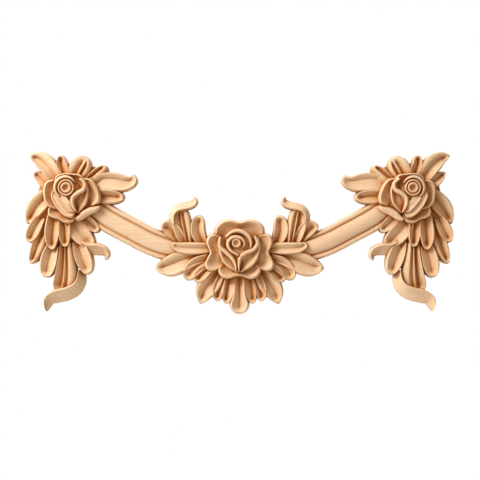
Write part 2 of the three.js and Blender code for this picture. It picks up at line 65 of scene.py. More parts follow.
# Painted shade: hollows within some 14 mm are painted brown, and creases within 3 mm darker brown, where
# shade falls among the carving.
HOLLOW_SHADE_BROWN = "#BC7E3C"
HOLLOW_SHADE_REACH = 14
HOLLOW_SHADE_DEEP, HOLLOW_SHADE_OPEN = 0.4, 1.0
CREASE_SHADE_BROWN = "#A5631F"
CREASE_SHADE_REACH = 3
CREASE_SHADE_DEEP, CREASE_SHADE_OPEN, CREASE_SHADE_MOST = 0.25, 0.8, 0.9
HOLLOW_SAMPLES = 8

# The photograph's view is level and straight on, in metres.
VIEW_DISTANCE = 1.3
MIDDLE_DEPTH = 0.010
PICTURE_WIDTH = 0.480
PICTURE_SHIFT = 0.0005
SENSOR = 36.0

# The light comes from the upper left, warm and soft, with one key lamp and a weak lamp behind.
FILL_STRENGTH = 0.74
FILL_BEHIND = 0.1
FILL_FROM = (-0.55, -0.45, 0.7)
FILL_WARMTH = "#FFF1E0"
KEY_PLACE = (-0.95, -0.70, 0.80)
KEY_SIZE = 0.45
KEY_POWER = 22
BACK_PLACE = (0.4, 1.2, 0.9)
BACK_SIZE = 0.8
BACK_POWER = 12
FLOOR_PALE = "#E9E7E3"
FLOOR_HALF_WIDTH, FLOOR_FRONT, FLOOR_BACK, FLOOR_LEVEL = 500, -300, 230, -320

# Heights above the glue face.
TIP_HEIGHT = 7.5
ROOT_HEIGHT = 12.0
LOW_LEAF = 11.0
MID_LEAF = 13.5
HIGH_LEAF = 15.5
OUTER_PETAL = 18.5
INNER_PETAL = 21.5
BUD_HEIGHT = 24.0
GROUND_HEIGHT = 6.0

# Cuts, and the falls of rounded edges, below those heights.
SCOOP_CUT = 5.0
EDGE_ROUND = 2.2
RIB_ROUND = 2.2
GROUND_ROUND = 1.0
PETAL_HOLLOW = 4.6
PETAL_EDGE = 2.4
PETAL_END_FALL = 2.0
RIM_SHARE = 0.22
VEIN_END_RIM, VEIN_END_WIDTH = 0.8, 0.6
CRESTS = 0.82
END_ROSE = (-172.5, 52.0)

# How finely each form is drawn.
LINE_STEPS = 60
TANGENT_GAP = 0.01
ARC_STEPS = 8
LEAF_ROWS, LEAF_COLUMNS, LEAF_CROWDING = 40, 7, 1.6
PETAL_ROWS, PETAL_COLUMNS, PETAL_EDGE_COLUMNS = 48, 18, 6
CORE_SIDES = 48
DOME_RINGS = 6
BAND_ROWS, BAND_COLUMNS = 60, (10, 4, 4, 3, 5)

# Turned bosses: shares of the radius, and the fall there below the boss's top.
DOME_FALL = 4
DOME = [[ring / DOME_RINGS, DOME_FALL * (ring / DOME_RINGS) ** 3] for ring in range(1, DOME_RINGS + 1)]
BUD_HEART = [[0.1, 2.6], [0.3, 2.4], [0.5, 0.8], [0.65, 0.1], [0.8, 0.6], [0.92, 2.4], [1.0, 4.5]]
BUD_RINGS = [[0.08, 3.4], [0.2, 3.2], [0.3, 2.2], [0.4, 0.5], [0.48, 0.1], [0.56, 0.6], [0.64, 2.2],
             [0.68, 2.3], [0.74, 1.2], [0.82, 0.6], [0.9, 1.2], [0.96, 3.0], [1.0, 5.0]]


def smooth(x, low, high):
    """Rises from 0 at low to 1 at high, with level ends."""
    share = np.clip((x - low) / (high - low), 0, 1)
    return share * share * (3 - 2 * share)


def plan_line(points):
    """A centripetal Catmull-Rom line through plan points, with its length up to each sample."""
    p = np.array(points, float)
    p = np.vstack([2 * p[0] - p[1], p, 2 * p[-1] - p[-2]])
    out = []
    for k in range(1, len(p) - 2):
        p0, p1, p2, p3 = p[k - 1], p[k], p[k + 1], p[k + 2]
        t0 = 0.0
        t1 = t0 + max(np.linalg.norm(p1 - p0), LEAST_LENGTH) ** 0.5
        t2 = t1 + max(np.linalg.norm(p2 - p1), LEAST_LENGTH) ** 0.5
        t3 = t2 + max(np.linalg.norm(p3 - p2), LEAST_LENGTH) ** 0.5
        t = np.linspace(t1, t2, LINE_STEPS, endpoint=k == len(p) - 3)[:, None]
        a1 = (t1 - t) / (t1 - t0) * p0 + (t - t0) / (t1 - t0) * p1
        a2 = (t2 - t) / (t2 - t1) * p1 + (t - t1) / (t2 - t1) * p2
        a3 = (t3 - t) / (t3 - t2) * p2 + (t - t2) / (t3 - t2) * p3
        b1 = (t2 - t) / (t2 - t0) * a1 + (t - t0) / (t2 - t0) * a2
        b2 = (t3 - t) / (t3 - t1) * a2 + (t - t1) / (t3 - t1) * a3
        out.append((t2 - t) / (t2 - t1) * b1 + (t - t1) / (t2 - t1) * b2)
    line = np.vstack(out)
    step = np.linalg.norm(np.diff(line, axis=0), axis=1)
    length = np.concatenate([[0], np.cumsum(step)])
    return line, length


def at(line, length, shares):
    """The points at shares of a line's length, and its direction there."""
    along = np.asarray(shares) * length[-1]
    gap = TANGENT_GAP * length[-1]
    places = (along, np.minimum(along + gap, length[-1]), np.maximum(along - gap, 0))
    point, ahead, behind = [np.stack([np.interp(place, length, line[:, k]) for k in range(2)], -1)
                            for place in places]
    tangent = ahead - behind
    return point, tangent / np.linalg.norm(tangent, axis=-1, keepdims=True)


def pair(value):
    """One value for both sides, or the values of the right-hand and the left-hand side."""
    return (value, value) if np.isscalar(value) else tuple(value)


def across(s, veins, crests, cuts, edges, ridge, powers, bulges):
    """Levels across a leaf at s: the fall at both edges, and the cuts of the veins between the crests."""
    lows = [-1.0, *veins, 1.0]
    falls = [edges[0], *cuts, edges[1]]
    edge_level = np.zeros_like(s)
    vein_level = np.zeros_like(s)
    for k in range(len(lows) - 1):
        a, b = lows[k], lows[k + 1]
        if not len(veins):
            crest = ridge
        elif k == 0:
            crest = -crests[0]
        elif k == len(veins):
            crest = crests[1]
        else:
            crest = (a + b) / 2
        inside = (s >= a) & (s <= b)
        right = (0, inside & (s < crest), a, falls[k], k == 0)
        left = (1, inside & (s >= crest), b, falls[k + 1], k == len(veins))
        for side, mask, low, fall, is_edge in (right, left):
            reach = np.clip(np.abs((s - crest) / (low - crest)), 0, 1)
            if is_edge:
                edge_level = np.where(mask, -fall * reach ** powers[side], edge_level)
            else:
                swell = bulges[1 - side]
                vein_level = np.where(mask, -fall * reach + swell * np.sin(math.pi * reach), vein_level)
    return edge_level, vein_level


def columns_of(veins, crests, ridge):
    """Positions across a leaf, with a column on every edge, crest and vein."""
    if len(veins):
        keys = [-1, -crests[0]]
        for k, vein in enumerate(veins):
            keys.append(vein)
            keys.append((vein + veins[k + 1]) / 2 if k < len(veins) - 1 else crests[1])
        keys.append(1)
    else:
        keys = [-1, ridge, 1]
    out = [-1.0]
    for a, b in zip(keys[:-1], keys[1:]):
        out.extend(np.linspace(a, b, LEAF_COLUMNS + 1)[1:])
    return np.array(out)


def width_share(t, root, belly, point, late):
    """The share of a leaf's half width at t: wider from root to belly, then closing to the tip."""
    beyond = np.clip((t - belly) / (1 - belly), 0, 1)
    before = root + (1 - root) * np.sin(math.pi / 2 * np.clip(t / belly, 0, 1) ** late)
    share = np.where(t < belly, before, np.maximum(0, 1 - beyond ** 2) ** point)
    share[-1] = 0
    return share


def leaf(line, wide, rise, root=0.7, belly=0.5, point=0.7, veins=(0,), crests=CRESTS, cut=SCOOP_CUT,
         edge=EDGE_ROUND, ridge=0.0, powers=(2.0, 2.0), bulges=(0, 0), late=1, rim=RIM_SHARE):
    """A leaf, curl or rib as a grid of points: rows from root to tip, columns from edge to edge.

    rise is the height at its root, middle and tip, and root, belly, point and late shape its width.
    veins, crests and ridge are shares of the half width, from -1 on the right-hand edge to 1 on the left.
    cut is the veins' depth, edge the fall at the edges, and bulges swell the slopes between them.
    A pair gives the right and the left of the line, seen from the root.
    """
    points, length = plan_line(line)
    wide = pair(wide)
    edges = pair(edge)
    crests = pair(crests)
    cuts = [cut] * len(veins) if np.isscalar(cut) else cut
    t = 1 - (1 - np.linspace(0, 1, LEAF_ROWS + 1)) ** LEAF_CROWDING
    centre, tangent = at(points, length, t)
    share = width_share(t, root, belly, point, late)[:, None]
    s = columns_of(veins, crests, ridge)
    mean = (wide[0] + wide[1]) / 2
    left = length[-1] * (1 - t)
    rim = rim * mean
    tip_fall = (np.clip(1 - left / rim, 0, 1) ** 2.0)[:, None]
    vein_keep = smooth(left, rim * VEIN_END_RIM, rim + VEIN_END_WIDTH * mean)[:, None]
    edge_level, vein_level = across(s, veins, crests, cuts, edges, ridge, powers, bulges)
    level = (edge_level + vein_level * vein_keep) * (1 - tip_fall) - min(edges) * tip_fall
    height = (rise[0] * (1 - t) ** 2 + rise[1] * 2 * t * (1 - t) + rise[2] * t * t)[:, None]
    reach = np.where(s < 0, wide[0], wide[1]) * s
    x = centre[:, :1] - tangent[:, 1:] * share * reach
    z = centre[:, 1:] + tangent[:, :1] * share * reach
    return x, z, height + level


def petal(rim, heart, height, reach=0.35, hollow=PETAL_HOLLOW, edge=PETAL_EDGE, crest=0.86, fold=0.5):
    """A petal as a grid of points: rows along its rim, columns from near the heart out to the rim.

    reach is the share of the way out where it starts, and fold the width of the slope inside its crest.
    """
    points, length = plan_line(rim)
    t = np.linspace(0, 1, PETAL_ROWS + 1)
    out, _ = at(points, length, t)
    s = np.concatenate([np.linspace(0, crest, PETAL_COLUMNS + 1),
                        np.linspace(crest, 1, PETAL_EDGE_COLUMNS + 1)[1:]])
    fall = (PETAL_END_FALL * np.abs(2 * t - 1) ** 4)[:, None]
    inside = -hollow * np.sin(math.pi / 2 * np.clip((crest - s) / fold, 0, 1))
    level = np.where(s < crest, inside, -edge * (np.clip(s - crest, 0, 1) / (1 - crest)) ** 2)
    share = reach + (1 - reach) * s
    x = heart[0] + (out[:, :1] - heart[0]) * share
    z = heart[1] + (out[:, 1:] - heart[1]) * share
    return x, z, height - fall + level


def core(x0, z0, radius, height, profile=DOME):
    """A turned boss: rings of points from the middle outwards, at the levels of its profile."""
    turn = np.linspace(0, 2 * math.pi, CORE_SIDES, endpoint=False)
    reach = np.array([step[0] for step in profile])[:, None]
    drop = np.array([step[1] for step in profile])[:, None]
    x = x0 + radius * reach * np.cos(turn)
    z = z0 + radius * reach * np.sin(turn)
    return x, z, height - drop + 0 * x


def rib(line, wide, height, **more):
    """A rounded rib without a vein, as the values of a leaf."""
    values = dict(line=line, wide=wide, rise=[height] * 3, veins=(), edge=RIB_ROUND, root=0.6, rim=1.0)
    values.update(more)
    return values


def ground(line, wide):
    """A low leaf without a vein, which fills the plan between the others."""
    return dict(line=line, wide=wide, rise=[GROUND_HEIGHT] * 3, veins=(), edge=GROUND_ROUND)


def arc(radius, start, end):
    """Points on an arc about the heart, by its angles in degrees."""
    turns = np.radians(np.linspace(start, end, ARC_STEPS + 1))
    return [[radius * math.cos(turn), radius * math.sin(turn)] for turn in turns]


# Leaves of the left end group, each from its root to its tip, with places from the heart of its rose
END_LEAVES = [
    # Pointed leaf towards the corner
    dict(line=[[-8, 4], [-12, 11], [-21, 23], [-29, 29.5], [-38.5, 32.5]], wide=(9.5, 8.5),
         rise=[ROOT_HEIGHT, MID_LEAF + 1, TIP_HEIGHT], root=0.8, belly=0.5, point=0.75,
         bulges=(1.4, -0.6), cut=4.0),
    # Small oval below it
    dict(line=[[-14, -3], [-22, 6], [-34, 16]], wide=6, rise=[MID_LEAF, MID_LEAF, TIP_HEIGHT], cut=4.0),
    # Upright oval
    dict(line=[[-2, 6], [-4, 18], [-6, 24], [-6.5, 33]], wide=(6.5, 5),
         rise=[ROOT_HEIGHT, MID_LEAF + 1, LOW_LEAF], point=0.5),
    # Broad leaf with two veins
    dict(line=[[7, 8], [12, 19], [19.5, 31]], wide=(11, 10.5), rise=[ROOT_HEIGHT, MID_LEAF + 1, LOW_LEAF],
         point=0.5, veins=[-0.36, 0.08], crests=(0.62, 0.85), bulges=(0, 1.4), cut=[3.6, 3.6]),
    # Oval up to the right
    dict(line=[[19, 3], [31, 14], [39.5, 21.5]], wide=(8, 6.5),
         rise=[ROOT_HEIGHT, MID_LEAF + 1, LOW_LEAF], point=0.5, veins=[0.42], crests=(0.02, 0.86),
         cut=4.0, edge=(4.5, 2)),
    # Big leaf to the right
    dict(line=[[20, 4], [38, 9], [50, 8.5], [58, 7], [64, 8], [66.5, 13.5]], wide=(13, 6.5),
         rise=[ROOT_HEIGHT, MID_LEAF + 1, LOW_LEAF], belly=0.5, point=0.75, cut=3.2, bulges=(-0.4, 0.4)),
    # Small oval under it
    dict(line=[[24, -8], [42, -8.5], [57, -9.5]], wide=7.8, rise=[ROOT_HEIGHT, MID_LEAF + 1, LOW_LEAF],
         point=0.5, crests=0.72),
    # Broad leaf down to the left
    dict(line=[[-12, -4], [-23, -11], [-30.5, -18.5], [-36, -27], [-40.5, -35.5]], wide=(9.5, 9.5),
         rise=[ROOT_HEIGHT, MID_LEAF + 1, TIP_HEIGHT], belly=0.45, point=0.75, bulges=(1.2, -0.4)),
    # Small leaf at the left edge
    dict(line=[[-26, -29], [-30.5, -37], [-34.5, -45], [-39, -54]], wide=(7, 7),
         rise=[LOW_LEAF - 1, HIGH_LEAF, LOW_LEAF - 0.5], point=0.55, cut=5),
    # Leaf under that
    dict(line=[[-21, -33], [-27.5, -50], [-31.5, -62], [-37, -75.5]], wide=(6.5, 10),
         rise=[GROUND_HEIGHT + 1, MID_LEAF, TIP_HEIGHT + 1], crests=(0.8, 0.42), edge=(2.2, 4.5),
         point=0.6, cut=4.6),
    # Two upper loops of the drop
    dict(line=[[-12, -22], [-14, -40], [-15, -52], [-14.5, -62]], wide=8,
         rise=[ROOT_HEIGHT, HIGH_LEAF + 1, MID_LEAF], point=0.6, cut=6.5),
    dict(line=[[-3, -24], [-2.5, -42], [-1.5, -59]], wide=(6.5, 6.8),
         rise=[ROOT_HEIGHT, HIGH_LEAF + 1, MID_LEAF], point=0.5, cut=6),
    # Slanting leaf beside them
    dict(line=[[4, -24], [7, -37], [15, -48], [27, -58]], wide=(9.5, 11),
         rise=[ROOT_HEIGHT, MID_LEAF + 1, LOW_LEAF], point=0.6, cut=4.5),
    # Small leaf beside the band
    dict(line=[[13, -22], [20, -33], [27, -39], [31.5, -43.5]], wide=(7, 6.5),
         rise=[ROOT_HEIGHT, MID_LEAF + 1, LOW_LEAF], point=0.5, cut=4),
    # Curl to the side
    dict(line=[[13, -57], [21, -60.5], [30, -61], [36.5, -63], [39.5, -67], [38, -72]], wide=(6, 5.5),
         rise=[MID_LEAF - 1, MID_LEAF + 1.5, LOW_LEAF], veins=[], ridge=0.65, edge=(6, 1.6),
         powers=(0.7, 2), root=0.8, belly=0.4, point=0.8),
    # Lower right leaf
    dict(line=[[10, -53], [13, -64], [16.5, -74], [21, -86.5]], wide=(7.5, 10),
         rise=[LOW_LEAF, MID_LEAF, LOW_LEAF], point=0.5),
    # Lower left leaf
    dict(line=[[-14, -57], [-17.5, -68], [-20, -80], [-21.5, -89.5]], wide=(8.5, 9.5),
         rise=[LOW_LEAF, MID_LEAF, LOW_LEAF], point=0.5),
    # Long main leaf
    dict(line=[[-1, -55], [-0.5, -75], [-1, -90], [-4, -107]], wide=(12.5, 11.5),
         rise=[MID_LEAF - 2, MID_LEAF + 1.5, TIP_HEIGHT + 0.5], root=0.5, belly=0.8, late=1.5, point=0.4,
         veins=[-0.36, 0.06], crests=(0.93, 0.38), cut=[5, 3], edge=(2, 3)),
    # Its tip, turned over
    dict(line=[[14, -83], [13.5, -93], [8, -101.5], [-1, -106], [-11, -108.5], [-18, -112], [-21, -123]],
         wide=(6.8, 6.8), rise=[LOW_LEAF + 1, MID_LEAF + 3, LOW_LEAF + 1], veins=[], ridge=-0.8,
         edge=(1.4, 10), powers=(2, 0.7), root=0.45, belly=0.6, point=0.85),
]

# Petals of an end rose, from the outside to the bud
END_PETALS = [
    dict(rim=[[-8, 8], [-15, 8], [-20, 6], [-22.5, 1], [-22.5, -9], [-21, -15], [-16, -20], [-8, -22]],
         heart=[-3, -5], height=OUTER_PETAL),
    dict(rim=[[-11, 4], [-11, 10], [-6, 13.5], [-1, 14.5], [8, 14], [14, 13], [19, 8]], heart=[1, 2],
         height=OUTER_PETAL + 1),
    dict(rim=[[18, 10], [25, 8.5], [29, 4], [32, -2], [34, -9], [33, -15], [27, -19]], heart=[10, -5],
         height=OUTER_PETAL),
    dict(rim=[[-14, -16], [-18, -21], [-18, -27], [-14, -30], [-8, -31.5], [-2, -35], [4, -35], [9, -31],
              [10, -25]],
         heart=[0, -12], height=OUTER_PETAL - 1),
    dict(rim=[[-12, -1], [-15, -7], [-13, -14], [-8, -22], [0, -29], [6, -30], [9, -26]], heart=[2, -6],
         height=INNER_PETAL, hollow=1.2, crest=0.88, fold=0.2),
    dict(rim=[[-9, -5], [-8, -11], [-3, -18], [4, -25], [9, -25]], heart=[5, -8],
         height=INNER_PETAL + 0.8, hollow=1.0, edge=2.5, crest=0.85, fold=0.25),
    dict(rim=[[17, 8], [22, 1], [22.5, -8], [20, -17], [12, -26]], heart=[7, -10],
         height=INNER_PETAL - 1.5, hollow=4),
]

# Rolled edges of an end rose
END_RIBS = [
    rib([[10, -31.5], [14, -29.5], [18, -26], [24, -23], [29, -21.5], [34, -19]], (3.6, 3.8),
        OUTER_PETAL + 0.5, ridge=0.3, root=0.5, belly=0.4, point=0.45),
    rib([[14, 9], [19, 4], [18, -1.5], [11, -6], [7, -10], [7, -17], [11, -25]], 2.4, INNER_PETAL + 1.5),
    rib(arc(10.5, 235, 20), 2.0, BUD_HEIGHT - 1.5),
]

# Leaves of the middle group's left half
MIDDLE_LEAVES = [
    # Tall leaf
    dict(line=[[-53, -5], [-57.5, 15], [-60.5, 33]], wide=(9.5, 10),
         rise=[LOW_LEAF, MID_LEAF + 1, LOW_LEAF], root=0.6, belly=0.6, point=0.35, veins=[-0.3, 0.08],
         crests=(0.62, 0.87), cut=[2.8, 4.4]),
    # Its tip, curled over
    dict(line=[[-67, 16], [-67.5, 25], [-63.5, 31], [-56.5, 33.5], [-49.5, 35], [-45, 38], [-45.5, 43]],
         wide=(3.8, 3.8), rise=[MID_LEAF, MID_LEAF + 2.5, MID_LEAF - 1], veins=[], ridge=-0.6,
         edge=(1.6, 4.5), powers=(2, 1.2), root=0.6, belly=0.75, point=0.8),
    # Leaf to its right
    dict(line=[[-36, -4], [-41, 10], [-39.5, 24.5]], wide=(6.5, 8.5),
         rise=[LOW_LEAF, MID_LEAF + 1, LOW_LEAF], point=0.45),
    # Leaf over the band
    dict(line=[[-58, -2], [-65, 7], [-72, 12], [-79, 14]], wide=(9, 7),
         rise=[LOW_LEAF - 2, MID_LEAF, LOW_LEAF], point=0.5),
    # Cut stem
    dict(line=[[-24, -8], [-45, -8.5], [-60, -7.5], [-68, -4]], wide=(6.2, 6.2),
         rise=[ROOT_HEIGHT, MID_LEAF + 4, MID_LEAF], cut=2.4, point=0.4, crests=0.7),
    # Big leaf out to the left
    dict(line=[[-26, -15.5], [-45, -16.5], [-59.5, -20.5], [-70, -25], [-84.5, -28.5]], wide=(9.5, 12.5),
         rise=[TIP_HEIGHT + 0.5, HIGH_LEAF + 1, LOW_LEAF - 1], root=0.4, belly=0.66, point=0.75,
         bulges=(0.8, 0.0), cut=4.5),
    # Five leaves fanned below
    dict(line=[[-30, -19], [-42, -25], [-49, -32], [-53, -40]], wide=(8.5, 8.5),
         rise=[MID_LEAF, HIGH_LEAF, LOW_LEAF], point=0.5),
    dict(line=[[-29, -27], [-36, -32], [-44.5, -41.5]], wide=(6.5, 6.8),
         rise=[HIGH_LEAF, HIGH_LEAF, LOW_LEAF], point=0.5),
    dict(line=[[-20, -29], [-27.5, -40], [-35, -50.5], [-39.5, -64]], wide=(9.5, 11.5),
         rise=[LOW_LEAF, MID_LEAF + 1, TIP_HEIGHT], belly=0.5, point=0.85, bulges=(0.8, -0.3)),
    dict(line=[[-16, -34], [-20.5, -46], [-22.5, -61]], wide=(6.2, 6.2),
         rise=[LOW_LEAF, MID_LEAF, LOW_LEAF], point=0.5),
    dict(line=[[-8.5, -34], [-11, -50], [-13.5, -63.5]], wide=(6, 6.5),
         rise=[LOW_LEAF, MID_LEAF, LOW_LEAF], point=0.5, veins=[-0.25]),
]

# Leaf on the middle line, a narrow shaft that ends in a round lobe
MIDDLE_LINE = [
    dict(line=[[0, -34], [0, -50], [0, -74]], wide=9.5, rise=[ROOT_HEIGHT, MID_LEAF + 2, LOW_LEAF],
         root=0.6, belly=0.76, late=5, point=0.5, crests=0.8, cut=5),
]

# Petals of the middle rose, drawn for its left half and for its middle line
MIDDLE_SIDE_PETALS = [
    dict(rim=[[-20, 5], [-26, 6.5], [-31, 4], [-33, -1], [-31.5, -7], [-29.5, -12], [-32, -18], [-34.5, -24],
              [-32.5, -29.5], [-27, -31], [-20, -29]],
         heart=[-14, -12], height=OUTER_PETAL, reach=0.3, fold=0.6),
    dict(rim=[[-19, 4], [-21, -6], [-19, -17], [-13, -26], [-1, -33]], heart=[-2, -8],
         height=INNER_PETAL - 0.5, hollow=4),
]
MIDDLE_LINE_PETALS = [
    dict(rim=[[-25, 7], [-24, 13], [-18.5, 18.5], [-10, 20.5], [0, 18.5], [10, 20.5], [18.5, 18.5],
              [24, 13], [25, 7]],
         heart=[0, -3], height=OUTER_PETAL + 0.5),
    dict(rim=[[-19, -25], [-21.5, -30], [-18, -36.5], [-12, -38.5], [0, -35.5], [11, -39], [18, -36.5],
              [21.5, -30], [19, -25]],
         heart=[0, -18], height=OUTER_PETAL, fold=0.6),
]

# Rolled edges of the middle rose, which aren't mirrored
MIDDLE_RIBS = [
    rib([[-19, 3], [-19.5, -6], [-13.5, -12], [-8, -17], [-4.5, -23], [-3, -32]], 2.4, INNER_PETAL + 1),
    rib([[15, 4], [18, -3], [14.5, -9], [6, -13], [1, -17], [-0.5, -24], [-0.5, -32]], 2.4,
        INNER_PETAL + 1.5),
    rib([[-13.5, 3], [-7.5, 7.5], [-1.5, 9], [5.5, 6.5], [10, 2], [11.5, -4], [10, -10]], 2.4,
        BUD_HEIGHT - 1.5),
    rib([[-1, -15], [-9, -10], [-11.5, -3], [-8, 2], [-3, 3], [2, 1.5], [5, -3], [3, -9]], 2.0,
        BUD_HEIGHT),
]

# Round bodies inside the roses: the middle across and up, the radius, the height and the profile
END_CORES = [(4, -6, 20, 15.5), (1, -3, 13, 19.5), (0.5, 0, 8.8, BUD_HEIGHT, BUD_RINGS)]
MIDDLE_CORES = [(0, -11, 26, 15), (0, -8, 15, 19.5), (-3, -3, 5.5, BUD_HEIGHT - 0.5, BUD_HEART)]

# Ground left between the leaves, so that light doesn't pass through the carving
END_GROUND = [
    ground([[-14, 10], [-16, -20], [-18, -50], [-22, -80]], 17),
    ground([[-20, 4], [0, 12], [30, 8], [50, 4]], 13),
    ground([[2, -20], [10, -50], [10, -80]], 15),
]
MIDDLE_GROUND = [
    ground([[-10, -10], [-40, -8], [-66, -4]], (11, 16)),
    ground([[-46, -22], [-20, -40], [0, -50]], 14),
]

# The band's centre line, from behind an end rose to behind the middle group, and its moulding
BAND_LINE = [[-152, 36], [-133.5, 22.5], [-109, 9], [-87.5, -2], [-64.5, -9], [-35, -12]]
BAND_WIDTH = 26.5
BAND_HEIGHT = 10.5
BAND_FALL = 4.5
BAND_SWELL = 2.2
BAND_GROOVE_AT, BAND_GROOVE_HALF, BAND_GROOVE_CUT = 0.62, 0.13, 1.2
BAND_EDGE_AT, BAND_EDGE_ROUND = 0.88, 2.0


def band():
    """The moulded band as a grid: a low swell between two grooves, falling away under the middle leaves."""
    points, length = plan_line(BAND_LINE)
    t = np.linspace(0, 1, BAND_ROWS + 1)
    centre, tangent = at(points, length, t)
    keys = [0, BAND_GROOVE_AT - BAND_GROOVE_HALF, BAND_GROOVE_AT, BAND_GROOVE_AT + BAND_GROOVE_HALF,
            BAND_EDGE_AT, 1]
    half = [np.linspace(a, b, n, endpoint=False) for a, b, n in zip(keys, keys[1:], BAND_COLUMNS)]
    half = np.concatenate([*half, [1.0]])
    s = np.concatenate([-half[::-1], half[1:]])
    out = np.abs(s)
    swell = BAND_SWELL * (1 - np.clip(out / BAND_GROOVE_AT, 0, 1) ** 2)
    groove = -BAND_GROOVE_CUT * np.clip(1 - np.abs(out - BAND_GROOVE_AT) / BAND_GROOVE_HALF, 0, 1)
    fillet = -BAND_EDGE_ROUND * np.clip((out - BAND_EDGE_AT) / (1 - BAND_EDGE_AT), 0, 1) ** 2
    x = centre[:, :1] - tangent[:, 1:] * BAND_WIDTH / 2 * s
    z = centre[:, 1:] + tangent[:, :1] * BAND_WIDTH / 2 * s
    return x, z, BAND_HEIGHT - BAND_FALL * t[:, None] ** 3 + swell + groove + fillet


def mesh_from(name, corners, faces):
    """A mesh object from corners in millimetres."""
    mesh = bpy.data.meshes.new(name)
    mesh.from_pydata((corners * MM).tolist(), [], faces)
    mesh.update()
    piece = bpy.data.objects.new(name, mesh)
    bpy.context.scene.collection.objects.link(piece)
    return piece


def tidy_block(mesh):
    """Merges the corners that meet, drops empty faces, and turns every face outwards."""
    work = bmesh.new()
    work.from_mesh(mesh)
    bmesh.ops.remove_doubles(work, verts=work.verts, dist=MERGE * MM)
    bmesh.ops.dissolve_degenerate(work, edges=work.edges, dist=MERGE * MM)
    bmesh.ops.recalc_face_normals(work, faces=work.faces)
    if work.calc_volume(signed=True) < 0:
        bmesh.ops.reverse_faces(work, faces=work.faces)
    work.to_mesh(mesh)
    work.free()


def grid_rim(rows, columns):
    """The grid's rim as one loop of indices."""
    index = np.arange(rows * columns).reshape(rows, columns)
    return np.concatenate([index[0, :-1], index[:-1, -1], index[-1, :0:-1], index[:0:-1, 0]])


def outward_of(rim):
    """Unit vectors that point out of the rim's loop on the plan."""
    step = np.roll(rim, -1, 0) - np.roll(rim, 1, 0)
    area = np.sum(rim[:, 0] * np.roll(rim[:, 1], -1) - np.roll(rim[:, 0], -1) * rim[:, 1])
    outward = np.stack([step[:, 1], -step[:, 0]], -1) * np.sign(area)
    return outward / np.maximum(np.linalg.norm(outward, axis=1, keepdims=True), LEAST_LENGTH)


def carved_block(name, x, z, height, side=1):
    """One form as a closed block: its front, walls with a little draft, and a back behind the glue face."""
    rows, columns = x.shape
    front = np.stack([x * side, -height, z], -1).reshape(-1, 3)
    ring = grid_rim(rows, columns)
    outward = outward_of(front[ring][:, [0, 2]])
    back = front.copy()
    back[:, 1] = SAW_MARGIN
    back[ring, 0] += outward[:, 0] * WALL_DRAFT
    back[ring, 2] += outward[:, 1] * WALL_DRAFT
    count = len(front)
    index = np.arange(count).reshape(rows, columns)
    quads = np.stack([index[:-1, :-1], index[:-1, 1:], index[1:, 1:], index[1:, :-1]], -1).reshape(-1, 4)
    following = np.roll(ring, -1)
    walls = np.stack([ring, ring + count, following + count, following], -1)
    faces = np.concatenate([quads, quads[:, ::-1] + count, walls]).tolist()
    piece = mesh_from(name, np.concatenate([front, back]), faces)
    tidy_block(piece.data)
    return piece


def turned_block(name, x, z, height, side=1):
    """A turned boss as a closed block: its rings, a wall and a flat back behind the glue face."""
    rings, sides = x.shape
    front = np.stack([x * side, -height, z], -1).reshape(-1, 3)
    back = front[-sides:].copy()
    back[:, 1] = SAW_MARGIN
    middles = np.array([front[:sides].mean(0), back.mean(0)])
    index = np.arange(rings * sides + sides).reshape(rings + 1, sides)
    following = np.roll(index, -1, 1)
    quads = np.stack([index[:-1], following[:-1], following[1:], index[1:]], -1).reshape(-1, 4)
    caps = [np.stack([np.full(sides, index.size + end), index[row], following[row]], -1).tolist()
            for end, row in ((0, 0), (1, rings))]
    piece = mesh_from(name, np.concatenate([front, back, middles]), quads.tolist() + caps[0] + caps[1])
    tidy_block(piece.data)
    return piece


def joined(name, blocks):
    """One solid from overlapping blocks."""
    body = blocks[0]
    for block in blocks[1:]:
        join = body.modifiers.new("join", "BOOLEAN")
        join.operation = "UNION"
        join.solver = "MANIFOLD"
        join.object = block
    bpy.context.view_layer.update()
    graph = bpy.context.evaluated_depsgraph_get()
    mesh = bpy.data.meshes.new_from_object(body.evaluated_get(graph))
    for block in blocks:
        bpy.data.objects.remove(block)
    whole = bpy.data.objects.new(name, mesh)
    bpy.context.scene.collection.objects.link(whole)
    return whole


def moved(grid):
    """An end group's grid, moved from its rose's heart to its place on the plan."""
    x, z, height = grid
    return x + END_ROSE[0], z + END_ROSE[1], height


def end_blocks(side):
    """One end's rose with its leaves and drop: side 1 is the left end, side -1 the right."""
    blocks = [carved_block(f"end_{number}", *moved(leaf(**shape)), side)
              for number, shape in enumerate(END_LEAVES + END_RIBS + END_GROUND)]
    blocks += [carved_block(f"petal_{number}", *moved(petal(**shape)), side)
               for number, shape in enumerate(END_PETALS)]
    blocks += [turned_block(f"core_{number}", *moved(core(*shape)), side)
               for number, shape in enumerate(END_CORES)]
    return blocks


def middle_side_blocks(side):
    """One half of the middle group, with the band on its side."""
    blocks = [carved_block(f"side_{number}", *leaf(**shape), side)
              for number, shape in enumerate(MIDDLE_LEAVES + MIDDLE_GROUND)]
    blocks += [carved_block(f"side_petal_{number}", *petal(**shape), side)
               for number, shape in enumerate(MIDDLE_SIDE_PETALS)]
    blocks.append(carved_block("band", *band(), side))
    return blocks


def middle_line_blocks():
    """The forms on the middle line, and the middle rose's heart, which isn't mirrored."""
    blocks = [carved_block(f"line_{number}", *leaf(**shape))
              for number, shape in enumerate(MIDDLE_LINE + MIDDLE_RIBS)]
    blocks += [carved_block(f"line_petal_{number}", *petal(**shape))
               for number, shape in enumerate(MIDDLE_LINE_PETALS)]
    blocks += [turned_block(f"line_core_{number}", *core(*shape))
               for number, shape in enumerate(MIDDLE_CORES)]
    return blocks


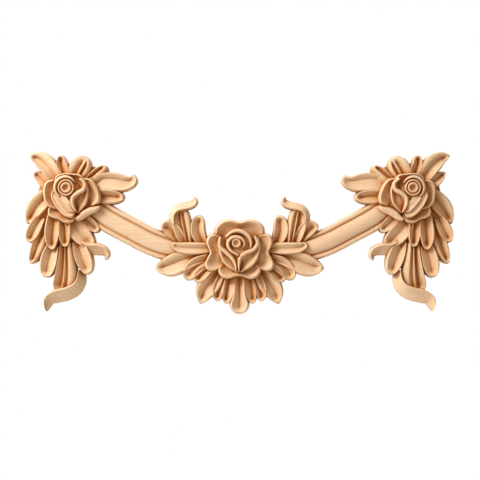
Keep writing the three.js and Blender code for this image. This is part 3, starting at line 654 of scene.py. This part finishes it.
def join_back(mesh):
    """Joins the sawn faces of the back into one, so that no sliver shows there."""
    work = bmesh.new()
    work.from_mesh(mesh)
    sawn = [face for face in work.faces if all(abs(corner.co.y) < MERGE * MM for corner in face.verts)]
    bmesh.ops.dissolve_faces(work, faces=sawn)
    work.to_mesh(mesh)
    work.free()


def glue_face_cut(piece):
    """Saws everything behind the glue face away, so that the back is one flat face."""
    wide, deep, tall = SAW_BOARD
    outline = [(-wide / 2, -tall / 2), (wide / 2, -tall / 2), (wide / 2, tall / 2), (-wide / 2, tall / 2)]
    corners = [[x, y, z] for y in (0, deep) for x, z in outline]
    sides = [[0, 3, 2, 1], [4, 5, 6, 7], [0, 1, 5, 4], [1, 2, 6, 5], [2, 3, 7, 6], [3, 0, 4, 7]]
    saw = mesh_from("saw", np.array(corners, float), sides)
    tidy_block(saw.data)
    cut = piece.modifiers.new("saw", "BOOLEAN")
    cut.operation = "DIFFERENCE"
    cut.solver = "MANIFOLD"
    cut.object = saw
    graph = bpy.context.evaluated_depsgraph_get()
    mesh = bpy.data.meshes.new_from_object(piece.evaluated_get(graph))
    piece.modifiers.clear()
    tidy_block(mesh)
    join_back(mesh)
    piece.data = mesh
    bpy.data.objects.remove(saw)


def linear(code):
    """A surface colour from its sRGB hex value."""
    values = [int(code[place:place + 2], 16) / 255 for place in (1, 3, 5)]
    straight = [value / 12.92 if value <= 0.04045 else ((value + 0.055) / 1.055) ** 2.4 for value in values]
    return (*straight, 1.0)


def add_node(tree, kind, settings=None, links=None):
    """Adds one node, sets its values, and joins its inputs to other nodes' outputs."""
    node = tree.nodes.new(kind)
    for name, value in (settings or {}).items():
        if hasattr(node, str(name)):
            setattr(node, name, value)
        else:
            node.inputs[name].default_value = value
    for name, source in (links or {}).items():
        tree.links.new(source, node.inputs[name])
    return node


def sanded_beech():
    """Beech, cut by router, sanded and left bare: pale tan, matt and straight-grained, with painted shade in
    brown in the hollows and cuts.
    """
    material = bpy.data.materials.new("sanded_beech")
    material.use_nodes = True
    tree = material.node_tree
    tree.nodes.clear()
    place = add_node(tree, "ShaderNodeTexCoord").outputs["Object"]
    per_fleck = (1 / (GRAIN_LONG * MM), 1 / (GRAIN_THICK * MM), 1 / (GRAIN_THICK * MM))
    stretched = add_node(tree, "ShaderNodeMapping", {"Scale": per_fleck},
                         {"Vector": place}).outputs["Vector"]
    grain = add_node(tree, "ShaderNodeTexNoise", {"Scale": 1.0, "Detail": 5.0, "Roughness": 0.6},
                     {"Vector": stretched}).outputs["Fac"]
    broad = add_node(tree, "ShaderNodeTexNoise", {"Scale": 1 / (BROAD_TONE * MM), "Detail": 2.0},
                     {"Vector": place}).outputs["Fac"]
    wood = add_node(tree, "ShaderNodeValToRGB", links={"Fac": grain})
    dark, light = wood.color_ramp.elements
    dark.position = GRAIN_DARK_AT
    dark.color = linear(GRAIN_DARK)
    light.position = GRAIN_LIGHT_AT
    light.color = linear(GRAIN_LIGHT)
    toned = add_node(tree, "ShaderNodeMixRGB", {"blend_type": "MULTIPLY", "Color2": linear(TONE_SHIFT)},
                     {"Fac": broad, "Color1": wood.outputs["Color"]}).outputs["Color"]
    # Painted shade: ambient occlusion over some 14 mm tints the hollows brown.
    wide = add_node(tree, "ShaderNodeAmbientOcclusion",
                    {"Distance": HOLLOW_SHADE_REACH * MM, "samples": HOLLOW_SAMPLES}).outputs["AO"]
    shade = add_node(tree, "ShaderNodeMapRange",
                     {"From Min": HOLLOW_SHADE_DEEP, "From Max": HOLLOW_SHADE_OPEN, "To Min": 1.0, "To Max": 0.0},
                     {"Value": wide}).outputs["Result"]
    hollow_shaded = add_node(tree, "ShaderNodeMixRGB", {"Color2": linear(HOLLOW_SHADE_BROWN)},
                      {"Fac": shade, "Color1": toned}).outputs["Color"]
    # Painted shade: ambient occlusion within 3 mm tints the creases a darker brown.
    close = add_node(tree, "ShaderNodeAmbientOcclusion",
                     {"Distance": CREASE_SHADE_REACH * MM, "samples": HOLLOW_SAMPLES}).outputs["AO"]
    depth = add_node(tree, "ShaderNodeMapRange",
                     {"From Min": CREASE_SHADE_DEEP, "From Max": CREASE_SHADE_OPEN, "To Min": CREASE_SHADE_MOST,
                      "To Max": 0.0},
                     {"Value": close}).outputs["Result"]
    colour = add_node(tree, "ShaderNodeMixRGB", {"Color2": linear(CREASE_SHADE_BROWN)},
                      {"Fac": depth, "Color1": hollow_shaded}).outputs["Color"]
    bump = add_node(tree, "ShaderNodeBump", {"Strength": 0.25, "Distance": GRAIN_RELIEF * MM},
                    {"Height": grain})
    skin = add_node(tree, "ShaderNodeBsdfPrincipled", {"Roughness": 0.62, "Specular IOR Level": 0.35},
                    {"Base Color": colour, "Normal": bump.outputs["Normal"]})
    add_node(tree, "ShaderNodeOutputMaterial", links={"Surface": skin.outputs["BSDF"]})
    return material


def camera_in_front():
    """The photograph's view: level, straight on, with 480 mm of the wall across the picture."""
    view = bpy.data.cameras.new("camera")
    view.sensor_width = SENSOR
    view.lens = SENSOR * (VIEW_DISTANCE - MIDDLE_DEPTH) / PICTURE_WIDTH
    camera = bpy.data.objects.new("camera", view)
    camera.location = (PICTURE_SHIFT, -VIEW_DISTANCE, 0.0)
    camera.rotation_euler = (math.pi / 2, 0, 0)
    bpy.context.scene.collection.objects.link(camera)
    bpy.context.scene.camera = camera


def soft_box(name, place, size, power):
    """A square lamp that faces the middle of the piece."""
    lamp = bpy.data.lights.new(name, "AREA")
    lamp.size = size
    lamp.energy = power
    light = bpy.data.objects.new(name, lamp)
    light.location = place
    light.rotation_euler = (-mathutils.Vector(place)).to_track_quat("-Z", "Y").to_euler()
    bpy.context.scene.collection.objects.link(light)


def studio():
    """A white studio: the camera sees plain white, and the fill is stronger from the upper left."""
    world = bpy.data.worlds.new("studio")
    bpy.context.scene.world = world
    world.use_nodes = True
    tree = world.node_tree
    tree.nodes.clear()
    place = add_node(tree, "ShaderNodeTexCoord").outputs["Generated"]
    facing = add_node(tree, "ShaderNodeVectorMath", {"operation": "DOT_PRODUCT", 1: FILL_FROM},
                      {0: place}).outputs["Value"]
    strength = add_node(tree, "ShaderNodeMapRange",
                        {"From Min": -1, "To Min": FILL_BEHIND, "To Max": FILL_STRENGTH},
                        {"Value": facing}).outputs["Result"]
    fill = add_node(tree, "ShaderNodeBackground", {"Color": linear(FILL_WARMTH)}, {"Strength": strength})
    white = add_node(tree, "ShaderNodeBackground", {"Color": linear("#FFFFFF")})
    seen = add_node(tree, "ShaderNodeLightPath").outputs["Is Camera Ray"]
    chosen = add_node(tree, "ShaderNodeMixShader", links={"Fac": seen, 1: fill.outputs["Background"],
                                                          2: white.outputs["Background"]})
    add_node(tree, "ShaderNodeOutputWorld", links={"Surface": chosen.outputs["Shader"]})
    soft_box("key", KEY_PLACE, KEY_SIZE, KEY_POWER)
    soft_box("back", BACK_PLACE, BACK_SIZE, BACK_POWER)
    bpy.context.scene.view_settings.view_transform = "Standard"


def pale_floor():
    """A pale floor well below the piece, as a stage that isn't part of it."""
    corners = [[-FLOOR_HALF_WIDTH, FLOOR_FRONT, FLOOR_LEVEL], [FLOOR_HALF_WIDTH, FLOOR_FRONT, FLOOR_LEVEL],
               [FLOOR_HALF_WIDTH, FLOOR_BACK, FLOOR_LEVEL], [-FLOOR_HALF_WIDTH, FLOOR_BACK, FLOOR_LEVEL]]
    floor = mesh_from("floor", np.array(corners, float), [[0, 1, 2, 3]])
    paint = bpy.data.materials.new("pale_floor")
    paint.use_nodes = True
    skin = paint.node_tree.nodes["Principled BSDF"]
    skin.inputs["Base Color"].default_value = linear(FLOOR_PALE)
    skin.inputs["Roughness"].default_value = 0.8
    floor.data.materials.append(paint)


left = joined("left", end_blocks(1) + middle_side_blocks(1))
right = joined("right", end_blocks(-1) + middle_side_blocks(-1))
middle = joined("middle", middle_line_blocks())
onlay = joined("onlay_carving", [left, right, middle])
glue_face_cut(onlay)
onlay.data.polygons.foreach_set("use_smooth", [True] * len(onlay.data.polygons))
onlay.data.set_sharp_from_angle(angle=math.radians(CREASE_ANGLE))
onlay.data.materials.clear()
onlay.data.materials.append(sanded_beech())
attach(onlay, "root")
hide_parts("carved_onlay")

pale_floor()
studio()
camera_in_front()
